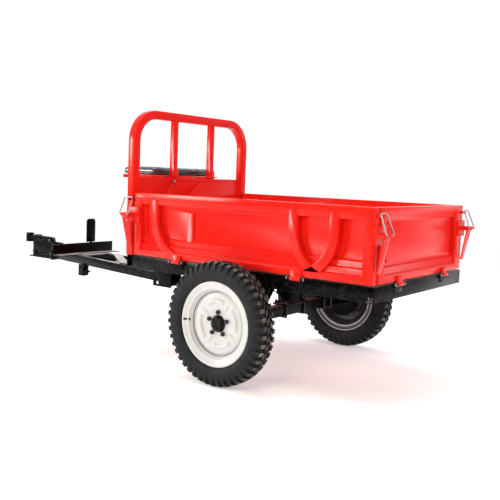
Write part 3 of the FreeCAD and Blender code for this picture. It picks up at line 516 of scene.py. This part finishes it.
def rim(name, side):
    """Pressed steel rim with rolled flanges and an embossed disc, with painted shade on its brake
    side and a black ring of painted shade at the disc's edge.
    """
    centre = Vector((AXLE.x, WHEEL_Y, TYRE_RADIUS))
    face = centre.y + RIM_HALF
    back = centre.y - RIM_HALF
    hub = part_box("hub_cap_left")[0][1] - 0.0006
    front = [(0.0322, hub), (0.060, hub + 0.001), (0.083, hub + 0.004), (0.117, hub + 0.006),
             (0.128, hub + 0.004), (0.136, hub - 0.001)]
    steps = 8
    disc = []
    for (r0, y0), (r1, y1) in zip(front, front[1:]):
        disc += [(r0 + (r1 - r0) * k / steps, y0 + (y1 - y0) * k / steps) for k in range(steps)]
    disc.append(front[-1])
    behind = [(r, y - 0.004) for r, y in reversed(disc)]
    ledge = [(0.1372, hub + 0.003), (0.1395, hub + 0.005), (0.1405, face - 0.022),
             (0.1490, face - 0.0150), (0.1515, face - 0.0085), (0.1560, face - 0.0070),
             (0.1660, face - 0.0062), (0.1685, face - 0.0030), (0.1760, face - 0.0006),
             (0.1815, face), (0.1840, face - 0.0016), (0.1838, face - 0.0036),
             (0.1800, face - 0.0042), (0.1700, face - 0.0060), (0.1600, face - 0.0100),
             (0.1555, face - 0.0180), (0.1430, face - 0.0290)]
    rear = [(0.1430, back + 0.029), (0.1555, back + 0.018), (0.1585, back + 0.006),
            (0.1800, back + 0.0042), (0.1840, back + 0.003), (0.1838, back + 0.0006),
            (0.1800, back), (0.1780, back + 0.0002), (0.1630, back + 0.002),
            (0.1605, back + 0.0023), (0.1560, back + 0.003), (0.1525, back + 0.017),
            (0.1390, back + 0.027), (0.1365, hub - 0.007)]
    rolled_edges = (3, 4, 5, 6, 9, 10)    # the points of rear that get no painted shade
    profile = [(r, y * side) for r, y in disc + ledge + rear + behind]
    embossed = set(range(len(disc))) | set(range(len(profile) - len(disc), len(profile)))

    def lift(index, radius, angle):
        if index not in embossed:
            return 0.0
        direction = math.degrees(math.atan2(math.sin(angle), -math.cos(angle) * side))
        return EMBOSS_HEIGHT * side * disc_emboss(direction, radius)

    # Painted shade: a thin black ring on the disc's edge, standing in for the dark crease between
    # disc and rim.
    shade_ring_radius = 0.1388
    seam = [Vector((centre.x + shade_ring_radius * math.cos(turn), (hub + 0.0052) * side,
                    centre.z + shade_ring_radius * math.sin(turn)))
            for turn in (math.pi * step / 60 for step in range(120))]
    line = closed_wire(f"rim_{name}_seam", seam, 0.0014)
    finish_piece(line, f"wheel_{name}", "cap_paint")
    shape = bmesh.new()
    lathe(shape, profile, Vector((centre.x, 0, centre.z)), 192, lift)
    piece = object_from_bmesh(f"rim_{name}_pressed", shape)
    # Painted shade: apart from the rolled edges, the rim's brake side is darkened through a vertex
    # layer, standing in for the shade inside the wheel.
    rear_start = len(disc) + len(ledge)
    free_of_painted_shade = set(range(rear_start)) | {rear_start + place for place in rolled_edges}
    layer = piece.data.color_attributes.new("painted_light_share", "FLOAT_COLOR", "POINT")
    for index, spot in enumerate(layer.data):
        amount = 0.0 if index % len(profile) in free_of_painted_shade else INNER_PAINTED_SHADE
        spot.color = (*grey(amount), 1)
    shade(piece, 50)
    return finish_piece(piece, f"wheel_{name}", "rim_paint", f"rim_{name}")


def valve_stem(name, side):
    """Rubber valve stem with its cap, standing in the rim ledge."""
    centre = Vector((AXLE.x, 0, TYRE_RADIUS))
    face = (WHEEL_Y + RIM_HALF) * side
    profile = [(0.0, 0.0), (0.0062, 0.0), (0.0062, 0.004), (0.0042, 0.008), (0.0038, 0.019),
               (0.0048, 0.0195), (0.0048, 0.030), (0.0030, 0.032), (0.0, 0.032)]
    shape = bmesh.new()
    steps = 20
    rings = []
    start = Vector((centre.x + 0.147, face - 0.016 * side, centre.z))
    lean = Matrix.Rotation(math.radians(-62 * side), 3, "Z")
    for radius, height in profile:
        ring = []
        for step in range(steps):
            angle = 2 * math.pi * step / steps
            knurl = 1 + (0.06 if step % 2 and height > 0.0195 else 0)
            spot = Vector((radius * knurl * math.cos(angle), height * side,
                           radius * knurl * math.sin(angle)))
            ring.append(shape.verts.new(start + lean @ spot))
        rings.append(ring)
    for ring, after in zip(rings, rings[1:]):
        for step in range(steps):
            nearby = (step + 1) % steps
            shape.faces.new((ring[step], ring[nearby], after[nearby], after[step]))
    bmesh.ops.remove_doubles(shape, verts=shape.verts, dist=1e-5)
    piece = object_from_bmesh(f"valve_stem_{name}", shape, 40)
    return finish_piece(piece, f"wheel_{name}", "cap_paint")


def hub_cap(name, side):
    """Pressed cap with a rolled lip and six shallow flutes."""
    centre = Vector((AXLE.x, 0, TYRE_RADIUS))
    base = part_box("hub_cap_left")[0][1]
    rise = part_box("hub_cap_left")[1][1] - base
    outline = [(0.0005, rise * 0.93), (0.014, rise * 0.95), (0.017, rise), (0.027, rise),
               (0.0310, rise * 0.90), (0.0335, rise * 0.55), (0.0340, rise * 0.26),
               (0.0375, rise * 0.20), (0.0380, 0.0006), (0.0330, 0.0), (0.0325, rise * 0.5),
               (0.026, rise * 0.8), (0.0005, rise * 0.75)]
    profile = [(r, (base + y) * side) for r, y in smooth_profile(outline, 0.0012, 2)]

    def flute(index, radius, angle):
        depth = 0.0012 * max(0.0, math.cos(6 * angle)) ** 4
        return -depth * side if 0.017 < radius < 0.031 else 0.0

    shape = bmesh.new()
    lathe(shape, profile, centre, 96, flute)
    piece = object_from_bmesh(f"hub_cap_{name}_pressed", shape, 45)
    return finish_piece(piece, f"wheel_{name}", "cap_paint", f"hub_cap_{name}")


# ---------------------------------------------------------------- latch bails

def closed_wire(name, points, radius):
    """A closed round wire through the points, as a mesh."""
    curve = bpy.data.curves.new(name, "CURVE")
    curve.dimensions = "3D"
    curve.bevel_depth = radius
    curve.bevel_resolution = 3
    spline = curve.splines.new("POLY")
    spline.points.add(len(points) - 1)
    for spot, point in zip(spline.points, points):
        spot.co = (*point, 1)
    spline.use_cyclic_u = True
    holder = object_from(name + "_curve", curve)
    bpy.context.view_layer.update()
    evaluated = holder.evaluated_get(bpy.context.evaluated_depsgraph_get())
    mesh = bpy.data.meshes.new_from_object(evaluated)
    bpy.data.objects.remove(holder)
    piece = object_from(name, mesh)
    mesh.shade_smooth()
    return piece


def rounded_loop(points, radius, steps=6):
    """A closed loop of points with each corner replaced by a curve."""
    result = []
    count = len(points)
    for index, here in enumerate(points):
        back = points[index - 1] - here
        ahead = points[(index + 1) % count] - here
        reach = min(radius, back.length * 0.45, ahead.length * 0.45)
        start = here + back.normalized() * reach
        end = here + ahead.normalized() * reach
        for step in range(steps + 1):
            share = step / steps
            result.append(start.lerp(here, share).lerp(here.lerp(end, share), share))
    return result


def bail(name):
    """Bent wire bail: it hooks over the peg and hangs in the lever's knee."""
    node = f"latch_bail_{name}"
    low, high = (Vector(corner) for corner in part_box(node))
    wire_radius = 0.003
    across = 1 if name.startswith("rear") else 0
    out = 1 - across
    sign = -1 if name.startswith("rear") or name.endswith("right") else 1
    lateral = ((low[across] + wire_radius), (high[across] - wire_radius))
    near, far = (low[out] + wire_radius, high[out] - wire_radius)
    inside, knee = (near, far) if sign > 0 else (far, near)
    narrow = (lateral[1] - lateral[0]) * 0.10

    def spot(side, outward, z):
        point = Vector((0, 0, z))
        point[across] = side
        point[out] = outward
        return point

    corners = [spot(lateral[0], knee, low.z + wire_radius),
               spot(lateral[1], knee, low.z + wire_radius),
               spot(lateral[1] - narrow, inside, high.z - wire_radius),
               spot(lateral[0] + narrow, inside, high.z - wire_radius)]
    piece = closed_wire(f"{node}_wire", rounded_loop(corners, 0.010), wire_radius)
    return finish_piece(piece, BODY_OF[node], "zinc_steel", node)


# ---------------------------------------------------------------- seat cushion

CUSHION_OVERHANG = Vector((0, 0.008, 0))
CHANNEL_DEPTH = 0.0055
CHANNEL_WIDTH = 0.006
WRINKLE_HEIGHT = 0.0010


def seat_cushion():
    """Padded seat: cloth inflated by simulation, then its welt and sewn channels."""
    low, high = (Vector(corner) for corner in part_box("seat_cushion"))
    low, high = low - CUSHION_OVERHANG, high + CUSHION_OVERHANG
    size = high - low
    centre = (low + high) / 2
    shape = bmesh.new()
    bmesh.ops.create_cube(shape, size=1)
    bmesh.ops.subdivide_edges(shape, edges=shape.edges, cuts=1, use_grid_fill=True)
    inset = Vector((0.005, 0.005, 0.004))
    for vert in shape.verts:
        vert.co = centre + Vector([vert.co[axis] * (size[axis] - 2 * inset[axis])
                                   for axis in range(3)])
    piece = object_from_bmesh("seat_cushion_padded", shape)
    corner = piece.modifiers.new("corner", "BEVEL")
    corner.width = 0.012
    corner.segments = 3
    apply_modifiers(piece)
    remesh = piece.modifiers.new("remesh", "REMESH")
    remesh.mode = "VOXEL"
    remesh.voxel_size = 0.0055
    apply_modifiers(piece)
    inflate(piece, pressure=2.6, cap=0.006)
    settle_cushion(piece, low, high)
    fine = piece.modifiers.new("fine", "SUBSURF")
    fine.levels = 1
    fine.render_levels = 1
    apply_modifiers(piece)
    piece.data.shade_smooth()
    finish_piece(piece, "chassis", "seat_vinyl", "seat_cushion")
    seam = Vector((0.006, 0.006, 0))
    near, far = low + seam, high - seam
    height = low.z + 0.0085
    outline = [Vector((x, y, height)) for x, y in
               ((near.x, near.y), (far.x, near.y), (far.x, far.y), (near.x, far.y))]
    welt_points = rounded_loop(outline, 0.030, 8)
    welt = closed_wire("seat_welt", welt_points, 0.0032)
    finish_piece(welt, "chassis", "seat_vinyl")


def inflate(piece, pressure, cap):
    """Blows the cushion up as sewn cloth, and keeps each point within cap of where it was."""
    rest = [vert.co.copy() for vert in piece.data.vertices]
    scene = bpy.context.scene
    cloth = piece.modifiers.new("cloth", "CLOTH")
    cloth.settings.use_pressure = True
    cloth.settings.uniform_pressure_force = pressure
    cloth.settings.effector_weights.gravity = 0
    cloth.settings.quality = 4
    cloth.point_cache.frame_start = 1
    cloth.point_cache.frame_end = 20
    for step in range(1, 21):
        scene.frame_set(step)
    apply_modifiers(piece)
    scene.frame_set(1)
    for vert, start in zip(piece.data.vertices, rest):
        move = vert.co - start
        if move.length > cap:
            vert.co = start + move.normalized() * cap


def settle_cushion(piece, low, high):
    """Top with two shallow sewn channels and faint wrinkles; flat where it rests on the pan."""
    length = high.y - low.y
    for vert in piece.data.vertices:
        share = (vert.co.z - low.z) / (high.z - low.z)
        if share > 0.35:
            for line in (-1, 1):
                away = abs(vert.co.y - (low.y + high.y) / 2 - line * length / 6)
                dip = CHANNEL_DEPTH * math.exp(-(away / CHANNEL_WIDTH) ** 2)
                vert.co.z -= dip * min(1, (share - 0.35) * 2)
            wrinkle = noise.noise(Vector((vert.co.x * 22, vert.co.y * 14, 3.1)))
            vert.co.z += WRINKLE_HEIGHT * wrinkle
        vert.co.z = min(max(vert.co.z, low.z + 0.0004), high.z + 0.003)
        vert.co.x = min(max(vert.co.x, low.x + 0.001), high.x)
        vert.co.y = min(max(vert.co.y, low.y), high.y)


# ---------------------------------------------------------------- weld beads

BEAD_RADIUS = 0.0030


def weld(shape, start, end):
    """A rippled fillet bead between two points, given from the middle of the axle."""
    start, end = (Vector((AXLE.x + spot[0], spot[1], spot[2])) for spot in (start, end))
    run = end - start
    count = max(2, int(run.length / (BEAD_RADIUS * 0.8)))
    for step in range(count + 1):
        wobble = 1 + 0.12 * math.sin(step * 2.4) + 0.06 * math.sin(step * 5.1)
        bmesh.ops.create_icosphere(shape, subdivisions=1, radius=BEAD_RADIUS * wobble,
                                   matrix=Matrix.Translation(start + run * (step / count)))


def weld_beads():
    """Beads where the frame's plates, tubes and brackets meet."""
    bar_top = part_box("guard_bars")[1][2]
    pan_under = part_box("seat_frame")[1][2] - 0.006
    seat_plate_under, post_foot_top, hanger_plate_under = 0.428, 0.3035, 0.427
    hitch_plate_low, cross_tie_low = 0.3445, 0.398
    red = bmesh.new()
    black = bmesh.new()
    for side in SIDES.values():
        weld(red, (0.655, 0.131 * side, bar_top), (0.655, 0.159 * side, bar_top))
        weld(red, (0.697, 0.2105 * side, pan_under), (0.930, 0.2105 * side, pan_under))
        for reach, y, z in ((0.100, 0.3225, seat_plate_under), (0.030, 0.0665, post_foot_top)):
            weld(black, (-reach, y * side, z), (reach, y * side, z))
        weld(black, (0.570, 0.2755 * side, hanger_plate_under),
             (0.660, 0.2755 * side, hanger_plate_under))
    weld(black, (1.394, 0.1245, hitch_plate_low), (1.438, 0.1245, hitch_plate_low))
    weld(black, (0.945, 0.1765, cross_tie_low), (1.018, 0.1765, cross_tie_low))
    for name, shape in (("red", red), ("black", black)):
        piece = object_from_bmesh(f"weld_beads_{name}", shape)
        piece.data.shade_smooth()
        finish_piece(piece, "chassis", f"{name}_paint")


# ---------------------------------------------------------------- camera, light and floor

ROOM_LIGHT = 1.02
ROOM_DARK = 0.10
TOWARDS_BACKDROP = (0.60, -0.80, 0.25)
FLOOR_RADIUS = 4.6
EYE = (AXLE.x - 1.9440, 2.9164, 0.9042)


def camera():
    """The view from the left rear, a little above the load bed."""
    data = bpy.data.cameras.new("camera")
    data.sensor_width = 36.0
    data.lens = 52.07
    data.shift_x = -0.0021
    data.shift_y = -0.0370
    holder = bpy.data.objects.new("camera", data)
    bpy.context.scene.collection.objects.link(holder)
    yaw, pitch, roll = -0.9242, 0.0760, 0.0377
    ahead = Vector((math.cos(pitch) * math.cos(yaw), math.cos(pitch) * math.sin(yaw),
                    -math.sin(pitch)))
    right = ahead.cross(Vector((0, 0, 1))).normalized()
    up = right.cross(ahead)
    turned_right = right * math.cos(roll) + up * math.sin(roll)
    turned_up = up * math.cos(roll) - right * math.sin(roll)
    rotation = Matrix((turned_right, turned_up, -ahead)).transposed()
    holder.matrix_world = Matrix.Translation(EYE) @ rotation.to_4x4()
    data.clip_start = 0.05
    bpy.context.scene.camera = holder


def area_light(name, place, target, size, power, color=(1, 1, 1)):
    """A rectangular soft box at place that faces target."""
    data = bpy.data.lights.new(name, "AREA")
    data.shape = "RECTANGLE"
    data.size, data.size_y = size
    data.energy = power
    data.color = color
    holder = bpy.data.objects.new(name, data)
    holder.location = place
    aim = Vector(target) - Vector(place)
    holder.rotation_euler = aim.to_track_quat("-Z", "Y").to_euler()
    bpy.context.scene.collection.objects.link(holder)


def studio():
    """A white studio behind the cart, a darker room behind the camera, four soft boxes."""
    world = bpy.data.worlds.new("studio")
    world.use_nodes = True
    tree = world.node_tree
    place = tree.nodes.new("ShaderNodeTexCoord")
    facing = tree.nodes.new("ShaderNodeVectorMath")
    facing.operation = "DOT_PRODUCT"
    facing.inputs[1].default_value = TOWARDS_BACKDROP
    tree.links.new(place.outputs["Generated"], facing.inputs[0])
    spread = tree.nodes.new("ShaderNodeMapRange")
    spread.inputs["From Min"].default_value = -0.35
    spread.inputs["From Max"].default_value = 0.55
    spread.inputs["To Min"].default_value = ROOM_DARK
    spread.inputs["To Max"].default_value = ROOM_LIGHT
    tree.links.new(facing.outputs["Value"], spread.inputs["Value"])
    sky = tree.nodes["Background"]
    sky.inputs["Color"].default_value = (1.0, 1.0, 1.0, 1)
    tree.links.new(spread.outputs["Result"], sky.inputs["Strength"])
    bpy.context.scene.world = world
    target = (AXLE.x + 0.4, 0, 0.6)
    area_light("key", (-1.6, 4.4, 2.7), target, size=(2.2, 1.6), power=95,
               color=(1.0, 0.88, 0.70))
    area_light("rear_fill", (-5.0, 0.2, 1.9), target, size=(2.0, 1.6), power=80,
               color=(1.0, 0.86, 0.92))
    area_light("overhead", (0.2, 0.2, 4.4), target, size=(3.4, 2.4), power=120)
    area_light("front_left", (3.6, 3.8, 1.42), (0.0, 0.2, 1.0), size=(1.7, 0.9), power=170,
               color=(1.0, 0.97, 0.93))
    bpy.context.scene.view_settings.view_transform = "Standard"


def floor():
    """A pale round floor; its far rim melts into the white backdrop."""
    shape = bmesh.new()
    bmesh.ops.create_circle(shape, cap_ends=True, segments=96, radius=FLOOR_RADIUS)
    piece = object_from_bmesh("studio_floor", shape)
    material, shader = new_material("floor")
    shader.inputs["Base Color"].default_value = (*grey(0.97), 1)
    shader.inputs["Roughness"].default_value = 1.0
    shader.inputs["Specular IOR Level"].default_value = 0.0
    shader.inputs["Emission Color"].default_value = (1, 1, 1, 1)
    shader.inputs["Emission Strength"].default_value = 0.30
    piece.data.materials.append(material)


# ---------------------------------------------------------------- build

random.seed(7)
camera()
studio()
floor()
for side_name, side_sign in SIDES.items():
    tyre(side_name, side_sign)
    rim(side_name, side_sign)
    valve_stem(side_name, side_sign)
    hub_cap(side_name, side_sign)
for latch_name in ("front_left", "front_right", "rear_left", "rear_right"):
    bail(latch_name)
seat_cushion()
weld_beads()
done = {name for piece in bpy.data.objects for name in piece.get("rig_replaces", [])}
for node_name in sorted(frame["nodes"]):
    if node_name not in done:
        softened(node_name)
